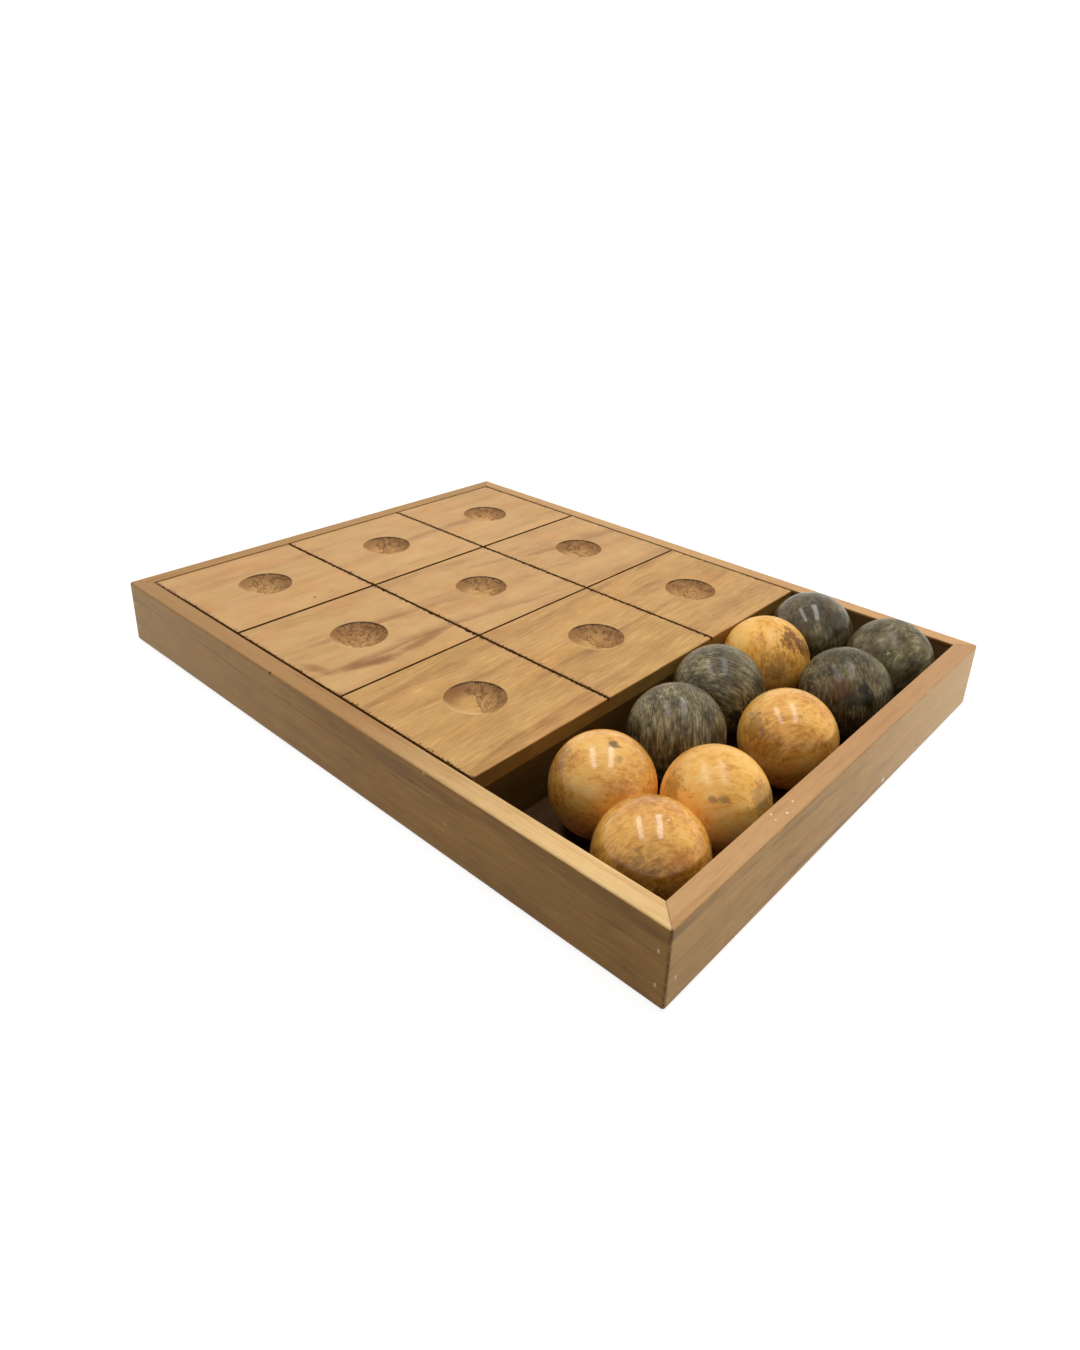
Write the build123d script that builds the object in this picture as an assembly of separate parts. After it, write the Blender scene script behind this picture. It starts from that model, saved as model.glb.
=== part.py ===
"""Wooden noughts and crosses box: a mitred frame, a sunk field with nine dimples, and a tray of ten balls.

Millimetres. +X runs along the box towards the ball tray, +Y across it, +Z up.
The origin is the middle of the underside, on the surface that the box stands on.
"""
import math
import os

from build123d import *

# Frame of four mitred rails
box_width = 299.0
frame_height = 39.0
rail_width = 10.0
top_edge_radius = 1.2
bottom_edge_radius = 2.4
corner_edge_radius = 1.4

# Thin base board, let into a rebate under the rails
base_thickness = 3.2
base_lip = 5.0
base_clearance = 0.3

# Playing field of three planks, sawn into nine square cells
cells_per_side = 3
plank_thickness = 8.6
plank_clearance = 0.2
kerf_width = 1.4
kerf_depth = 2.0
dimple_diameter = 31.5
dimple_depth = 5.5

# What carries the planks: the tray wall and three bearers
tray_wall_thickness = 12.0
bearer_thickness = 12.0
bearer_clearance = 0.3

# Ten loose balls in two rows in the tray
ball_diameter = 48.8
ball_gap = 0.3
balls_per_row = 5
tray_slack = 4.1

# Pin nails, each with a small head, and the filler over those that show
pin_diameter = 1.2
pin_head_diameter = 2.0
pin_head_height = 0.6
pin_clearance = 0.05
corner_pin_length = 20.0
corner_pin_sink = 0.9
corner_pin_inset = 4.7
long_rail_pin_heights = (10.5, 26.6)
end_rail_pin_inset = 5.9
end_rail_pin_height = 13.1
base_pin_length = 14.0
base_pin_sink = 0.3
base_pins_long_side = 4
base_pins_short_side = 3

# Where the photographed balls lie: the share of a row's free length that lies before each ball,
# and how far each ball stands off the wall that its row runs along
field_row_shares = (0.73, 1.0, 1.0, 1.0, 1.0)
field_row_offsets = (9.0, 7.6, 0.0, 0.0, 3.0)
field_row_colours = ("light", "dark", "dark", "light", "dark")
end_row_shares = (0.04, 0.04, 0.56, 0.93, 1.0)
end_row_offsets = (0.3, 1.6, 3.1, 2.6, 0.7)
end_row_colours = ("light", "light", "light", "dark", "dark")

# Sizes that follow from those above
inner_width = box_width - 2 * rail_width
cell_pitch = (inner_width - kerf_width) / cells_per_side
tray_length = 2 * ball_diameter + tray_slack
field_length = kerf_width / 2 + cells_per_side * cell_pitch
box_length = 2 * rail_width + field_length + tray_length
field_start = -box_length / 2 + rail_width
tray_start = field_start + field_length
tray_end = box_length / 2 - rail_width
inner_side = inner_width / 2
joint_height = frame_height - plank_thickness
ball_radius = ball_diameter / 2
dimple_radius = (dimple_diameter**2 / 4 + dimple_depth**2) / (2 * dimple_depth)
first_kerf = field_start + kerf_width / 2
on_its_end = (Align.CENTER, Align.CENTER, Align.MIN)


def block(low_x, high_x, low_y, high_y, low_z, high_z):
    """A plain box between two corners."""
    size = (high_x - low_x, high_y - low_y, high_z - low_z)
    return Pos(low_x, low_y, low_z) * Box(*size, align=(Align.MIN, Align.MIN, Align.MIN))


def prism(points, low_z, high_z):
    """An upright prism on a closed outline of straight sides."""
    face = make_face(Polyline(*points, close=True))
    return Pos(0, 0, low_z) * extrude(face, amount=high_z - low_z)


def kerf_lines():
    """Centres of the kerfs that bound the cells along one side, counted from the first."""
    return [index * cell_pitch for index in range(cells_per_side + 1)]


def frame_ring():
    """The whole frame before its corners are sawn: eased outside, open inside, rebated for the base."""
    ring = block(-box_length / 2, box_length / 2, -box_width / 2, box_width / 2, 0, frame_height)
    ring = fillet(ring.edges().filter_by(Axis.Z), corner_edge_radius)
    ring = fillet(ring.faces().sort_by(Axis.Z)[-1].edges(), top_edge_radius)
    ring = fillet(ring.faces().sort_by(Axis.Z)[0].edges(), bottom_edge_radius)
    ring -= block(field_start, tray_end, -inner_side, inner_side, 0, frame_height)
    lip = base_lip
    ring -= block(field_start - lip, tray_end + lip, -inner_side - lip, inner_side + lip, 0, base_thickness)
    return ring


def mitre_quarters():
    """Four upright prisms that part the ring along its mitres, by rail name."""
    reach = box_width / 2
    spine = box_length / 2 - reach
    corners = {
        "near_left": (-box_length / 2, -reach),
        "near_right": (box_length / 2, -reach),
        "far_right": (box_length / 2, reach),
        "far_left": (-box_length / 2, reach),
    }
    left = (-spine, 0)
    right = (spine, 0)
    outlines = {
        "near_rail": (corners["near_left"], corners["near_right"], right, left),
        "far_rail": (corners["far_right"], corners["far_left"], left, right),
        "left_rail": (corners["far_left"], corners["near_left"], left),
        "right_rail": (corners["near_right"], corners["far_right"], right),
    }
    return {name: prism(outline, 0, frame_height) for name, outline in outlines.items()}


def pin(length, widening=0.0):
    """A pin nail, head down at the origin and point up, made wider all round for its bore."""
    head = Cylinder(pin_head_diameter / 2 + widening, pin_head_height, align=on_its_end)
    shank = Cylinder(pin_diameter / 2 + widening, length, align=on_its_end)
    return head + shank


def corner_pin_places():
    """Where the corner pins enter, as the face point and the rotation that turns +Z into the wood."""
    places = []
    for side_x in (-1, 1):
        for side_y in (-1, 1):
            across = side_x * (box_length / 2 - corner_pin_inset)
            for height in long_rail_pin_heights:
                places.append(Pos(across, side_y * box_width / 2, height) * Rot(side_y * 90, 0, 0))
            along = side_y * (box_width / 2 - end_rail_pin_inset)
            on_end_face = Pos(side_x * box_length / 2, along, end_rail_pin_height)
            places.append(on_end_face * Rot(0, -side_x * 90, 0))
    return places


def base_pin_places():
    """Where the base pins enter from below: evenly along the middle of each rebate."""
    line_x = tray_end + base_lip / 2
    line_y = inner_side + base_lip / 2
    step_x = box_length / base_pins_long_side
    step_y = box_width / base_pins_short_side
    places = []
    for index in range(base_pins_long_side):
        x = -box_length / 2 + (index + 0.5) * step_x
        places += [Pos(x, side * line_y, 0) for side in (-1, 1)]
    for index in range(base_pins_short_side):
        y = -box_width / 2 + (index + 0.5) * step_y
        places += [Pos(side * line_x, y, 0) for side in (-1, 1)]
    return places


def corner_pins():
    """The pins through the mitres, sunk below the faces."""
    return [place * Pos(0, 0, corner_pin_sink) * pin(corner_pin_length) for place in corner_pin_places()]


def pin_hole_fillers():
    """The filler over each corner pin, flush with the rail."""
    radius = pin_head_diameter / 2
    plug = Cylinder(radius, corner_pin_sink, align=on_its_end)
    return [place * plug for place in corner_pin_places()]


def base_pins():
    """The pins that hold the base board up into the rails."""
    return [place * Pos(0, 0, base_pin_sink) * pin(base_pin_length) for place in base_pin_places()]


def pin_bores():
    """The room that every pin and filler takes in the wood."""
    wider = pin_clearance
    mouth_radius = pin_head_diameter / 2
    bores = []
    for place in corner_pin_places():
        bores.append(place * Pos(0, 0, corner_pin_sink) * pin(corner_pin_length + wider, wider))
        mouth = Cylinder(mouth_radius, corner_pin_sink, align=on_its_end)
        bores.append(place * mouth)
    for place in base_pin_places():
        bores.append(place * Pos(0, 0, base_pin_sink) * pin(base_pin_length + wider, wider))
        mouth = Cylinder(mouth_radius, base_pin_sink, align=on_its_end)
        bores.append(place * mouth)
    return bores


def base_board():
    """The thin board that closes the underside and makes the tray's floor."""
    reach = base_lip - base_clearance
    half_width = inner_side + reach
    return block(field_start - reach, tray_end + reach, -half_width, half_width, 0, base_thickness)


def planks():
    """Three planks, each one cell wide, with half a kerf on every edge and the cross kerfs sawn through."""
    lines = [first_kerf + offset for offset in kerf_lines()]
    edges = [field_start + plank_clearance] + lines[1:]
    half_length = inner_side - plank_clearance
    bottom = frame_height - kerf_depth
    top = frame_height
    far = box_length
    made = []
    for index in range(cells_per_side):
        plank = block(edges[index], edges[index + 1], -half_length, half_length, joint_height, top)
        for line in lines[:-1]:
            plank -= block(line - kerf_width / 2, line + kerf_width / 2, -far, far, bottom, top)
        for offset in kerf_lines():
            line = -cells_per_side * cell_pitch / 2 + offset
            plank -= block(-far, far, line - kerf_width / 2, line + kerf_width / 2, bottom, top)
        middle = (lines[index] + lines[index + 1]) / 2
        for row in range(cells_per_side):
            along = (row - (cells_per_side - 1) / 2) * cell_pitch
            height = frame_height - dimple_depth + dimple_radius
            plank -= Pos(middle, along, height) * Sphere(dimple_radius)
        made.append(plank)
    return made


def tray_wall():
    """The wall under the last plank, which carries it and bounds the tray."""
    half_length = inner_side - plank_clearance
    back = tray_start - tray_wall_thickness
    return block(back, tray_start, -half_length, half_length, base_thickness, joint_height)


def bearer(middle_y):
    """A batten that stands on the base and carries all three planks."""
    start = field_start + bearer_clearance
    end = tray_start - tray_wall_thickness - bearer_clearance
    low = middle_y - bearer_thickness / 2
    return block(start, end, low, low + bearer_thickness, base_thickness, joint_height)


def row_steps(shares):
    """Centres of a row's balls along the tray: each takes its share of the row's free length."""
    start = -inner_side + ball_gap + ball_radius
    step = ball_diameter + ball_gap
    free = inner_width - 2 * ball_gap - ball_diameter - (balls_per_row - 1) * step
    return [start + index * step + share * free for index, share in enumerate(shares)]


def ball_places():
    """Name, X and Y of each ball: the end row stands by its rail, and the field row never runs into it."""
    step = ball_diameter + ball_gap
    end_row = []
    for y, offset in zip(row_steps(end_row_shares), end_row_offsets):
        end_row.append((tray_end - ball_gap - ball_radius - offset, y))
    field_row = []
    for y, offset in zip(row_steps(field_row_shares), field_row_offsets):
        beside = [(x, y - other) for x, other in end_row if abs(y - other) < step]
        touching = [x - math.sqrt(step**2 - aside**2) for x, aside in beside]
        field_row.append((min([tray_start + ball_gap + ball_radius + offset] + touching), y))
    counts = {"light": 0, "dark": 0}
    places = []
    for colour, (x, y) in zip(field_row_colours + end_row_colours, field_row + end_row):
        counts[colour] += 1
        places.append((f"{colour}_ball_{counts[colour]}", x, y))
    return places


def ball(x, y):
    """A plain turned ball, just clear of the tray's floor."""
    return Pos(x, y, base_thickness + ball_gap + ball_radius) * Sphere(ball_radius)


def make_parts():
    """Every node by name."""
    bores = pin_bores()
    ring = frame_ring() - bores
    nodes = {name: ring & quarter for name, quarter in mitre_quarters().items()}
    nodes["base_board"] = base_board() - bores
    for name, plank in zip(("left_plank", "middle_plank", "right_plank"), planks()):
        nodes[name] = plank
    nodes["tray_wall"] = tray_wall()
    side_line = inner_side - bearer_clearance - bearer_thickness / 2
    for name, line in (("near_bearer", -side_line), ("middle_bearer", 0.0), ("far_bearer", side_line)):
        nodes[name] = bearer(line)
    nodes["corner_pins"] = Compound(corner_pins())
    nodes["pin_hole_fillers"] = Compound(pin_hole_fillers())
    nodes["base_pins"] = Compound(base_pins())
    for name, x, y in ball_places():
        nodes[name] = ball(x, y)
    return nodes


def least_ball_gap():
    """The smallest gap between two balls."""
    centres = [(x, y) for name, x, y in ball_places()]
    pairs = [math.dist(a, b) for index, a in enumerate(centres) for b in centres[:index]]
    return min(pairs) - ball_diameter


os.makedirs("parts", exist_ok=True)
for node, shape in make_parts().items():
    export_step(shape, f"parts/{node}.step")
print(f"box length {box_length:.2f}, cell {cell_pitch:.2f}, tray from {tray_start:.2f} to {tray_end:.2f}")
print(f"least gap between balls {least_ball_gap():.3f}")
for node, x, y in ball_places():
    print(f"{node}: {x:.2f}, {y:.2f}")
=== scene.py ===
"""Wooden noughts and crosses box: three dimpled planks in a mitred frame, and ten turned balls in a tray.

Metres, in the frame's own axes: +X runs along the box towards the tray, +Y across it, +Z up. The materials
work in millimetres.
"""
import math
import random

import bmesh
import bpy
from mathutils import Euler, Matrix, Vector, noise


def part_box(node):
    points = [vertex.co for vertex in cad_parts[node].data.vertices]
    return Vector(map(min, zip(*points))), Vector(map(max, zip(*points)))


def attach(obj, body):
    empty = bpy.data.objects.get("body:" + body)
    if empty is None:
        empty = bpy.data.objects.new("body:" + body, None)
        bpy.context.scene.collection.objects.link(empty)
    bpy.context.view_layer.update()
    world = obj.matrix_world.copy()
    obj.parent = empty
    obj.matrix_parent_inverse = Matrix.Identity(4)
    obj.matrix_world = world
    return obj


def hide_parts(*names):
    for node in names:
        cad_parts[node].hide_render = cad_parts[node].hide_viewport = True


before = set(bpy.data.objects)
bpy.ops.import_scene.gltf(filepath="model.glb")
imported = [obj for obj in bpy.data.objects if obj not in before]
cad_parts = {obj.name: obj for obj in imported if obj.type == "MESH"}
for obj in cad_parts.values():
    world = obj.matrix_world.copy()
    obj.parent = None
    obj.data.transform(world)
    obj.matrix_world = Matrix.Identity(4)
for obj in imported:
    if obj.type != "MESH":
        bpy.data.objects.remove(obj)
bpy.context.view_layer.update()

mm = 0.001


def srgb(red, green, blue):
    """A colour given as a screen shows it, from 0 to 255, made linear."""
    shares = [value / 255 for value in (red, green, blue)]
    linear = [share / 12.92 if share <= 0.04045 else ((share + 0.055) / 1.055) ** 2.4 for share in shares]
    return (*linear, 1.0)


# Camera, fitted to the photograph's frame
photo_width, photo_height = 1080, 1350
focal_length_pixels = 921.716
optical_centre = (560.568, 568.474)
camera_place = (0.324593, -0.361419, 0.276486)
camera_right = Vector((0.7459896, 0.6647470, 0.0401375))
camera_down = Vector((0.2906016, -0.2707036, -0.9177528))
sensor_width = 36.0

# Playing field
cells_per_side = 3
kerf_width = 1.4 * mm
kerf_depth = 2.0 * mm
near_kerf_width = 1.1 * mm
wide_kerf_width = 1.9 * mm
fading_kerf_start = -150 * mm
fading_kerf_length = 25 * mm
dimple_width = 31.5 * mm
dimple_depth = 5.5 * mm
# Where the cutter tore a dimple, in radians from +X
torn_side_angle = 1.6
torn_patch = 5 * mm
torn_chip = (1.6 * mm, 2.4 * mm)
tray_edge_ease = 0.5 * mm
splinter_width = 1.5 * mm
splinter_patch = 7.0 * mm
scratch_length = 2.2 * mm
planks = ("left_plank", "middle_plank", "right_plank")
cell_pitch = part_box("middle_plank")[1][0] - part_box("middle_plank")[0][0]
# Cell pitches from the field's left end to the middle of the box
field_shift = 189.3 / 92.5333

# Rails
rail_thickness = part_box("near_rail")[1][1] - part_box("near_rail")[0][1]
frame_half_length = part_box("right_rail")[1][0]
frame_half_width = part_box("far_rail")[1][1]
frame_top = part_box("near_rail")[1][2]
# How far the pins' rows are from the box's middle along X and Y, in millimetres
pin_rows = (195.3, 143.6)

# A cell's skin
points_per_cell_side = 160
dimple_rings = 22
board_ring_shares = (0.12, 0.3, 0.5, 0.7, 0.85, 0.95, 1.0)
# Steps from the flat top to the border: the share of the way out and the share of the way down
kerf_profile = ((0.02, 0.2), (0.05, 0.6), (0.12, 1.0), (0.5, 1.0), (1.0, 1.0))
eased_profile = ((0.4, 0.08), (0.7, 0.3), (0.9, 0.6), (0.97, 0.85), (1.0, 1.0))
# How much of the torn edge, and of the fading kerf's narrowing, is left at each of those steps
tear_left = (0.35, 0.1, 0.0, 0.0, 0.0)
narrowing_left = (1.0, 0.98, 0.9, 0.5, 0.0)
# Three of a cell's sides, numbered as in rectangle_point
near_side, tray_side, far_side = 0, 1, 2
board_slot, dimple_slot, kerf_slot = range(3)
weld_distance = 0.002 * mm

# Balls
ball_rounds = 6
parting_flat_width = 5.0 * mm
centre_mark_width = 1.4 * mm
centre_mark_depth = 0.5 * mm
ball_wobble = 0.06 * mm
dents_per_ball = 3
dent_width = 7.0 * mm
dent_depth = 0.12 * mm
light_ball_seed = 20
dark_ball_seed = 40

# Studio
strip_height = 0.8
strip_size = (0.17 * strip_height, 0.92 * strip_height)
floor_half_size = 20.0
floor_drop = 0.3 * mm
# The floor's glow rises between these distances from the box's middle, in millimetres
floor_glow_reach = (250.0, 1600.0)


class Number:
    """A node's number. Arithmetic on it adds Math nodes."""

    def __init__(self, nodes, socket):
        self.nodes = nodes
        self.socket = socket

    def __add__(self, other):
        return self.nodes.math("ADD", self, other)

    def __sub__(self, other):
        return self.nodes.math("SUBTRACT", self, other)

    def __rsub__(self, other):
        return self.nodes.math("SUBTRACT", other, self)

    def __mul__(self, other):
        return self.nodes.math("MULTIPLY", self, other)

    def __truediv__(self, other):
        return self.nodes.math("DIVIDE", self, other)

    def __abs__(self):
        return self.nodes.math("ABSOLUTE", self)

    __radd__ = __add__
    __rmul__ = __mul__


class Nodes:
    """A node tree, with short ways to add and link its nodes."""

    def __init__(self, tree):
        self.tree = tree

    def add(self, kind, settings=None, inputs=None):
        """One node: its settings first, then the values or links of its sockets, by name or by number."""
        node = self.tree.nodes.new(kind)
        for name, value in (settings or {}).items():
            if name == "stops":
                self.set_stops(node.color_ramp, value)
            else:
                setattr(node, name, value)
        for key, value in (inputs or {}).items():
            self.feed(node.inputs[key], value)
        return node

    def set_stops(self, ramp, stops):
        while len(ramp.elements) < len(stops):
            ramp.elements.new(1.0)
        for element, (place, colour) in zip(ramp.elements, stops):
            element.position = place
            element.color = colour

    def feed(self, socket, value):
        value = getattr(value, "socket", value)
        if isinstance(value, bpy.types.NodeSocket):
            self.tree.links.new(value, socket)
        else:
            socket.default_value = value

    def math(self, operation, *values):
        node = self.add("ShaderNodeMath", {"operation": operation}, dict(enumerate(values)))
        return Number(self, node.outputs[0])

    def vector(self, operation, *values):
        node = self.add("ShaderNodeVectorMath", {"operation": operation}, dict(enumerate(values)))
        return node.outputs[0]

    def measure(self, operation, *vectors):
        """A vector's LENGTH, or the DISTANCE between two."""
        node = self.add("ShaderNodeVectorMath", {"operation": operation}, dict(enumerate(vectors)))
        return Number(self, node.outputs["Value"])

    def rise(self, value, low, high):
        """0 below low and 1 above high, with a smooth step between; low may be the greater one."""
        start, end = float(low > high), float(low < high)
        inputs = {0: value, 1: min(low, high), 2: max(low, high), 3: start, 4: end}
        node = self.add("ShaderNodeMapRange", {"interpolation_type": "SMOOTHSTEP"}, inputs)
        return Number(self, node.outputs[0])

    def blend(self, share, first, second, kind="MIX"):
        settings = {"data_type": "RGBA", "blend_type": kind}
        node = self.add("ShaderNodeMix", settings, {0: share, 6: first, 7: second})
        return node.outputs[2]

    def ramp(self, value, stops):
        return self.add("ShaderNodeValToRGB", {"stops": stops}, {0: value}).outputs[0]

    def split(self, vector):
        node = self.add("ShaderNodeSeparateXYZ", None, {0: vector})
        return [Number(self, socket) for socket in node.outputs]

    def join(self, x, y, z):
        return self.add("ShaderNodeCombineXYZ", None, {0: x, 1: y, 2: z}).outputs[0]

    def noise(self, vector, size, seed, detail=2.0, roughness=0.5):
        """Soft noise about 0.5, with features of the given size along X, Y and Z."""
        inputs = {
            "Vector": vector,
            "Scale": [1 / length for length in size],
            "Location": (7.31 * seed, 3.17 * seed, 5.77 * seed),
        }
        stretched = self.add("ShaderNodeMapping", None, inputs).outputs[0]
        inputs = {"Vector": stretched, "Scale": 1.0, "Detail": detail, "Roughness": roughness}
        return Number(self, self.add("ShaderNodeTexNoise", None, inputs).outputs[0])

    def framed(self, vector, centre, turn):
        """The vector as seen from a piece with this centre, turned by these degrees about X, Y and Z."""
        rotation = [math.radians(angle) for angle in turn]
        inputs = {"Vector": vector, "Location": centre, "Rotation": rotation}
        return self.add("ShaderNodeMapping", {"vector_type": "TEXTURE"}, inputs).outputs[0]

    def spot(self, vector, centre, radius, edge=0.5):
        """1 within a radius of a point, fading out at its edge."""
        away = self.measure("DISTANCE", vector, centre)
        return self.rise(away, radius * (1 + edge), radius * (1 - edge))


class Finish(Nodes):
    """A material: its shader and its nodes. self.place is the surface's place in millimetres."""

    def __init__(self, name, roughness=0.5, specular=0.5, coat=0.0, coat_roughness=0.1):
        self.material = bpy.data.materials.new(name)
        self.material.use_nodes = True
        super().__init__(self.material.node_tree)
        self.shader = self.tree.nodes["Principled BSDF"]
        settings = {
            "Roughness": roughness,
            "Specular IOR Level": specular,
            "Coat Weight": coat,
            "Coat Roughness": coat_roughness,
        }
        for socket, value in settings.items():
            self.shader.inputs[socket].default_value = value
        metres = self.add("ShaderNodeTexCoord").outputs["Object"]
        scaled = self.add("ShaderNodeVectorMath", {"operation": "SCALE"}, {0: metres, "Scale": 1 / mm})
        self.place = scaled.outputs[0]

    def show(self, colour, height, relief, roughness=None):
        """Links the colour, a height from 0 to 1 that stands for a relief in metres, and the roughness."""
        self.feed(self.shader.inputs["Base Color"], colour)
        bump = self.add("ShaderNodeBump", None, {"Strength": 1.0, "Distance": relief, "Height": height})
        self.feed(self.shader.inputs["Normal"], bump.outputs[0])
        if roughness is not None:
            self.feed(self.shader.inputs["Roughness"], roughness)


class Timber:
    """What one board's wood looks like. Sizes are in millimetres, and the fibres run along Y.

    pith is the middle of the rings, along X and Z, and sweep is how far the fibres wander. rings, broad,
    streaks, fibres and flecks say how strongly each shows.
    """

    def __init__(self, colours, pith, ring_width, rings, broad, streaks, fibres, flecks, sweep, seed):
        self.stops = [(place, srgb(*colour)) for place, colour in zip((0.0, 0.5, 1.0), colours)]
        self.pith = pith
        self.ring_width = ring_width
        self.rings = rings
        self.broad = broad
        self.streaks = streaks
        self.fibres = fibres
        self.flecks = flecks
        self.sweep = sweep
        self.seed = seed


def wood(finish, grain, timber):
    """Tone, colour, pores and height of sawn wood at a place in its own grain's frame."""
    seed = timber.seed
    bend = finish.noise(grain, (70, 190, 70), seed, 1.0) - 0.5
    ripple = finish.noise(grain, (11, 70, 11), seed + 1, 2.0) - 0.5
    curl = finish.noise(grain, (9, 24, 9), seed + 11, 1.0) - 0.5
    shift = finish.join(bend * timber.sweep + ripple * 2.0 + curl * 2.5, 0.0, bend * (timber.sweep * 0.6))
    bent = finish.vector("ADD", grain, shift)
    flat = finish.vector("MULTIPLY", bent, (1.0, 0.0, 1.0))
    pith = (timber.pith[0], 0.0, timber.pith[1])
    ring = finish.math("FRACT", finish.measure("DISTANCE", flat, pith) / timber.ring_width)
    late = finish.rise(ring, 0.55, 0.95) * finish.rise(ring, 1.0, 0.96)
    uneven = finish.rise(finish.noise(grain, (16, 110, 16), seed + 2, 2.0), 0.38, 0.66)
    broad = finish.noise(bent, (24, 280, 24), seed + 3, 3.0, 0.6) - 0.5
    streak = finish.noise(bent, (3.0, 80, 3.0), seed + 4, 3.0, 0.65) - 0.5
    fibre = finish.noise(bent, (0.9, 34, 0.9), seed + 5, 3.0, 0.7) - 0.5
    fleck = finish.noise(bent, (0.8, 15.0, 0.8), seed + 6, 2.0) - 0.5
    cloud = finish.noise(grain, (15, 26, 15), seed + 7, 3.0, 0.6) - 0.5
    tone = 0.55 - late * uneven * timber.rings + broad * timber.broad + streak * timber.streaks
    tone = tone + fibre * timber.fibres + fleck * timber.flecks + cloud * 0.7
    pore = finish.noise(bent, (0.4, 4.5, 0.4), seed + 8, 1.0)
    pores = finish.rise(pore, 0.66, 0.74) * finish.rise(ring, 0.75, 0.2)
    colour = finish.ramp(tone, timber.stops)
    ruddy = finish.rise(finish.noise(bent, (19, 75, 19), seed + 9, 2.0), 0.48, 0.72)
    colour = finish.blend(ruddy * 0.6, colour, (1.0, 0.86, 0.74, 1.0), "MULTIPLY")
    sallow = finish.rise(finish.noise(bent, (17, 60, 17), seed + 10, 2.0), 0.5, 0.75)
    colour = finish.blend(sallow * 0.6, colour, (0.84, 0.88, 0.74, 1.0), "MULTIPLY")
    silky = finish.rise(fleck + streak * 0.5, 0.1, 0.24)
    colour = finish.blend(silky * (timber.flecks * 0.5), colour, (1.35, 1.38, 1.45, 1.0), "MULTIPLY")
    colour = finish.blend(pores * 0.3, colour, srgb(104, 70, 36))
    height = 0.6 + fibre * 0.5 + fleck * 0.3 - pores * 0.5 - late * 0.1
    return tone, colour, pores, height


rail_look = {
    "ring_width": 9.0, "rings": 0.4, "broad": 0.7, "streaks": 0.7, "fibres": 0.9,
    "flecks": 0.35, "sweep": 5,
}
inside_look = {
    "pith": (40, -70), "ring_width": 9.0, "rings": 0.3, "broad": 0.8, "streaks": 0.6, "fibres": 0.4,
    "flecks": 0.2, "sweep": 12,
}
plank_timbers = {
    "left_plank": Timber(
        ((176, 126, 72), (212, 164, 105), (230, 186, 126)), pith=(95, -70), ring_width=24.0, rings=0.35,
        broad=0.7, streaks=0.25, fibres=0.24, flecks=0.25, sweep=14, seed=11),
    "middle_plank": Timber(
        ((156, 108, 58), (207, 160, 102), (226, 184, 124)), pith=(-60, -52), ring_width=22.0, rings=0.32,
        broad=0.7, streaks=0.28, fibres=0.26, flecks=0.35, sweep=26, seed=23),
    "right_plank": Timber(
        ((158, 110, 58), (200, 152, 90), (226, 182, 116)), pith=(78, -55), ring_width=19.0, rings=0.3,
        broad=0.55, streaks=0.22, fibres=0.6, flecks=0.65, sweep=22, seed=37),
}
# Painted shade: the base board, the bearers and the tray wall get dark timber colours that stand for the
# shade inside the box.
shade_darkened_timber = Timber(((46, 29, 13), (72, 48, 22), (98, 68, 36)), seed=81, **inside_look)
shade_darkened_wall_timber = Timber(((60, 42, 13), (88, 64, 25), (112, 84, 40)), seed=88, **inside_look)


def board_finish(name, timber, centre, turn, marks=(), smears=(), sawn=False):
    """Waxed sawn wood, its grain's frame having this centre and turn.

    A mark is a place, a radius and a colour. A smear has a middle, half its length and width, the angle it
    lies at, a colour and a strength.
    """
    finish = Finish(name, 0.5, specular=0.25)
    grain = finish.framed(finish.place, centre, turn)
    tone, colour, pores, height = wood(finish, grain, timber)
    if sawn:
        along_y = cell_place(finish)[1]
        beyond_kerf = cell_pitch / mm / 2 - abs(along_y) - kerf_width / mm / 2
        splinter = finish.noise(finish.place, (0.9, 1.6, 0.9), 91, 2.0, 0.6)
        patchy = finish.noise(finish.place, (9, 9, 9), 93, 1.0)
        reach = finish.rise(splinter, 0.45, 0.68) * finish.rise(patchy, 0.25, 0.55)
        z = finish.split(finish.place)[2]
        top = frame_top / mm
        above = finish.rise(z, top - 2.2, top - 1.8)
        # Painted shade: the board's top is darkened along the kerfs' torn edges, where the bump is also
        # pressed in like chips.
        chips_and_shade = finish.rise(beyond_kerf - reach * 1.8, 0.35, -0.05) * above
        colour = finish.blend(chips_and_shade * 0.75, colour, srgb(94, 59, 26))
        height = height - chips_and_shade * 1.5
        # Painted shade: the plank's sides below its top are darkened, such as the face towards the tray.
        shaded_sides = finish.rise(z, top - 0.4, top - 1.0)
        colour = finish.blend(shaded_sides * 0.85, colour, (0.5, 0.48, 0.28, 1.0), "MULTIPLY")
    ragged = finish.noise(finish.place, (9, 14, 9), timber.seed + 12, 3.0, 0.6) - 0.5
    for middle, half_size, angle, shade, strength in smears:
        near = finish.framed(finish.place, middle, (0, 0, angle))
        squeezed = finish.vector("MULTIPLY", near, (1 / half_size[0], 1 / half_size[1], 0.0))
        soiled = finish.rise(finish.measure("LENGTH", squeezed) + ragged * 1.2, 1.1, 0.2)
        colour = finish.blend(soiled * strength, colour, srgb(*shade))
    for place, radius, shade in marks:
        colour = finish.blend(finish.spot(finish.place, place, radius) * 0.85, colour, srgb(*shade))
    finish.show(colour, height, 0.12 * mm, 0.42 + pores * 0.2 + tone * 0.08)
    return finish


def box_middle(name):
    """The middle of a node's box, in millimetres."""
    low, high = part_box(name)
    return [(a + b) / 2 / mm for a, b in zip(low, high)]


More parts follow.
